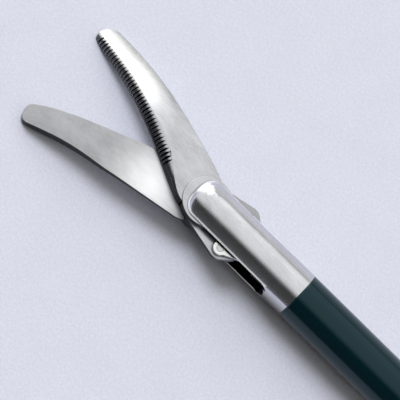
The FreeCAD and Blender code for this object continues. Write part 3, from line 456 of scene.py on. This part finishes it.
def plastic(name, grain=SKIN_GRAIN, depth=SKIN_DEPTH):
    """Moulded plastic: a fine skin texture, slightly uneven gloss, edges worn paler and
    painted shade in joints and gaps."""
    colour, (low, high) = LOOKS[name]
    material, nodes, shader = new_material(name)
    skin = stretched_noise(nodes, grain, detail=6.0)
    clouds = stretched_noise(nodes, grain * CLOUDS_PER_SKIN, detail=2.0)
    gloss = across_band(nodes, clouds, "Fac", ROUGH_BAND, low, high)
    nodes.link(gloss, "Color", shader, "Roughness")
    dark = scaled(colour, SKIN_CLOUD_SHADE)
    tint = across_band(nodes, clouds, "Fac", CLOUD_BAND, dark, scaled(colour, 1))
    nodes.link(tint, "Color", shader, "Base Color")
    wear = edge_mask(nodes, WORN_EDGE)
    patchy = nodes.maths("MULTIPLY", (wear, "Color"), WORN_SHARE)
    wear_and_highlight(nodes, shader, (patchy, "Value"), scaled(colour, WORN_GAIN, WORN_LIFT))
    shaded(nodes, shader, painted_gap_shade(nodes, *PLASTIC_GAP_SHADE))
    relief(nodes, shader, skin, depth, SKIN_STRENGTH, PLASTIC_EDGE)
    return material


def sleeve_finish():
    """Glossy dark plastic with a teal sheen."""
    material = plastic("insulation", SLEEVE_GRAIN, SLEEVE_DEPTH)
    shader = material.node_tree.nodes["Principled BSDF"]
    shader.inputs["Specular Tint"].default_value = TEAL_SHEEN
    return material


def clevis_finish():
    """Turned bright steel outside with a painted highlight on the nose and slot rim, painted
    shade on faces by the way they look and in gaps, and painted black shade in the slot.
    """
    material, nodes, shader = steel("clevis_steel", edge=CLEVIS_EDGE)
    shaded(nodes, shader, facing_shade(nodes, *CLEVIS_UNDERSIDE_SHADE))
    shaded(nodes, shader, facing_shade(nodes, *CLEVIS_TOP_SHADE))
    nose = patch(nodes, *NOSE_HIGHLIGHT_SPOT)
    rim = slot_rim_highlight(nodes)
    spots = nodes.maths("MAXIMUM", (nose, "Result"), (rim, "Value"))
    painted_highlight(nodes, shader, (spots, "Value"), *NOSE_HIGHLIGHT)
    shaded(nodes, shader, painted_gap_shade(nodes, *CLEVIS_GAP_SHADE))
    shaded(nodes, shader, slot_shade(nodes))
    return material


def upper_blade_finish():
    """Bright ground faces with a painted highlight towards the tip, and painted shade in the
    notches, behind the serrations and on the back.
    """
    material, nodes, shader = steel("upper_blade_steel", BLADE_TURN, UPPER_BLADE_UNEVEN)
    # Painted highlight towards the tip
    wear_and_highlight(nodes, shader, (patch(nodes, *BLADE_HIGHLIGHT_SPOT), "Result"), BLADE_HIGHLIGHT_COLOUR)
    shaded(nodes, shader, painted_gap_shade(nodes, *NOTCH_SHADE))
    shaded(nodes, shader, facing_shade(nodes, *SERRATED_EDGE_SHADE))
    shaded(nodes, shader, facing_shade(nodes, *UPPER_BLADE_BACK_SHADE))
    return material


def lower_blade_finish():
    """Dull ground faces with a painted highlight where the blades cross, and painted shade in
    gaps and on the back.
    """
    material, nodes, shader = steel("shaded_lower_blade_steel", -BLADE_TURN, LOWER_BLADE_UNEVEN)
    painted_highlight(nodes, shader, (patch(nodes, *CROSSING_HIGHLIGHT_SPOT), "Result"), *CROSSING_HIGHLIGHT)
    shaded(nodes, shader, painted_gap_shade(nodes, *STEEL_GAP_SHADE))
    shaded(nodes, shader, facing_shade(nodes, *LOWER_BLADE_BACK_SHADE))
    return material


def dress_nodes():
    """Gives every CAD node the finish of its slot, or its own."""
    clevis_steel = clevis_finish()
    # Painted shade: the pieces deep in the slot get a darker copy of turned steel
    shaded_inner_steel = plain_steel("shaded_inner_steel", INNER_GAP_SHADE)
    by_slot = {
        "insulation": sleeve_finish(),
        "clevis_steel": clevis_steel,
        "steel": plain_steel("turned_steel"),
        "blade_steel": upper_blade_finish(),
        "handle_plastic": plastic("handle_black"),
        "knob_plastic": plastic("knob_grey"),
        "contact_brass": plain_steel("contact_brass"),
        "seal_rubber": plastic("seal_rubber"),
    }
    by_node = {
        "lower_blade": lower_blade_finish(),
        "pivot_pin": clevis_steel,
        # Painted highlight: a brighter copy of turned steel for the upper link
        "upper_link": plain_steel("highlit_link_steel"),
        "pull_rod": shaded_inner_steel,
        "rod_pin": shaded_inner_steel,
    }
    slots = {part["node"]: part["material_slot"] for part in frame["record"]["subparts"]}
    for name, node in frame["nodes"].items():
        node.data.materials.clear()
        node.data.materials.append(by_node.get(name, by_slot[slots[name]]))


# Table, light and camera


def resting_plane():
    """The table's point and normal: the face of the lowest pieces' hull under the balance."""
    hull = bmesh.new()
    for name in RESTS_ON:
        node = frame["nodes"][name]
        for vertex in node.data.vertices:
            hull.verts.new(node.matrix_world @ vertex.co)
    bmesh.ops.convex_hull(hull, input=hull.verts[:])
    hull.faces.ensure_lookup_table()
    tree = BVHTree.FromBMesh(hull)
    point, normal, _, _ = tree.ray_cast(BALANCE, Vector((0, 0, -1)))
    hull.free()
    return point, -normal if normal.z < 0 else normal


def table_finish():
    """A matt pale top with faint clouds and a fine speckle."""
    material, nodes, shader = new_material("table_top")
    clouds = stretched_noise(nodes, TABLE_CLOUDS, detail=3.0)
    dark = scaled(TABLE_COLOUR, TABLE_CLOUD_SHADE)
    tint = across_band(nodes, clouds, "Fac", CLOUD_BAND, dark, scaled(TABLE_COLOUR, 1))
    nodes.link(tint, "Color", shader, "Base Color")
    speckle = stretched_noise(nodes, TABLE_SPECKLE, detail=2.0)
    shade = across_band(nodes, speckle, "Fac", ROUGH_BAND, TABLE_SPECKLE_SHADE, 1.0)
    shaded(nodes, shader, shade)
    shader.inputs["Roughness"].default_value = TABLE_ROUGHNESS
    return material


def table_top():
    point, normal = resting_plane()
    grid = bmesh.new()
    bmesh.ops.create_grid(grid, x_segments=1, y_segments=1, size=TABLE_HALF)
    mesh = bpy.data.meshes.new("table")
    grid.to_mesh(mesh)
    grid.free()
    table = bpy.data.objects.new("table", mesh)
    bpy.context.scene.collection.objects.link(table)
    facing = normal.to_track_quat("Z", "Y").to_matrix().to_4x4()
    table.matrix_world = Matrix.Translation(point) @ facing
    table.data.materials.append(table_finish())


def key_light():
    """A soft sun that the metal doesn't mirror."""
    lamp = bpy.data.lights.new("key", "SUN")
    lamp.energy = KEY_STRENGTH
    lamp.angle = KEY_WIDTH
    lamp.color = KEY_COLOUR
    holder = bpy.data.objects.new("key", lamp)
    bpy.context.scene.collection.objects.link(holder)
    holder.rotation_mode = "QUATERNION"
    holder.rotation_quaternion = KEY_WAY.to_track_quat("Z", "Y")
    holder.visible_glossy = False


def room():
    """A studio room: bright on the side across the shaft, dark on the other, with a soft
    box for the blades and a small one for the nose. The picture's own backdrop stays
    plain."""
    world = bpy.data.worlds.new("room")
    bpy.context.scene.world = world
    world.use_nodes = True
    nodes = Nodes(world.node_tree)
    coords = nodes.add("ShaderNodeTexCoord")
    sideways = along(nodes, coords, "Generated", ACROSS)
    backwards = along(nodes, coords, "Generated", BACK)
    turn = nodes.maths("ARCTAN2", (sideways, "Value"), (backwards, "Value"))
    spread = nodes.add("ShaderNodeMapRange")
    spread.inputs["From Min"].default_value = -math.pi
    spread.inputs["From Max"].default_value = math.pi
    nodes.link(turn, "Value", spread, "Value")
    stops = [(degrees / 360 + 0.5, level) for degrees, level in GLOW]
    lit = ramp(nodes, spread, "Result", stops)
    for way, edge in (BLADE_BOX, NOSE_BOX):
        box = ramp(nodes, along(nodes, coords, "Generated", way), "Value", edge)
        lit = tinted(nodes, lit, box, blend="ADD")
    lit = tinted(nodes, lit, ROOM_TINT)
    shine = nodes.add("ShaderNodeBackground", Strength=1.0)
    nodes.link(lit, "Color", shine, "Color")
    plain = nodes.add("ShaderNodeBackground", Color=BACKGROUND, Strength=1.0)
    path = nodes.add("ShaderNodeLightPath")
    choose = nodes.add("ShaderNodeMixShader")
    output = nodes.add("ShaderNodeOutputWorld")
    nodes.link(path, "Is Camera Ray", choose, "Fac")
    nodes.link(shine, "Background", choose, 1)
    nodes.link(plain, "Background", choose, 2)
    nodes.link(choose, "Shader", output, "Surface")


def camera():
    _, sleeve_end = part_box("insulation_sleeve")
    target = Vector((sleeve_end.x, 0, 0)) + AHEAD * VIEW_CENTRE_AHEAD
    lens = bpy.data.cameras.new("camera")
    lens.sensor_width = SENSOR
    lens.lens = SENSOR * CAMERA_DISTANCE / FRAME_WIDTH
    lens.clip_start = CLIP_NEAR
    lens.clip_end = CLIP_FAR
    holder = bpy.data.objects.new("camera", lens)
    bpy.context.scene.collection.objects.link(holder)
    axes = Matrix((RIGHT, UPWARD, BACK)).transposed().to_4x4()
    holder.matrix_world = Matrix.Translation(target + BACK * CAMERA_DISTANCE) @ axes
    bpy.context.scene.camera = holder


dress_nodes()
table_top()
key_light()
room()
camera()

bpy.context.scene.view_settings.view_transform = "Standard"
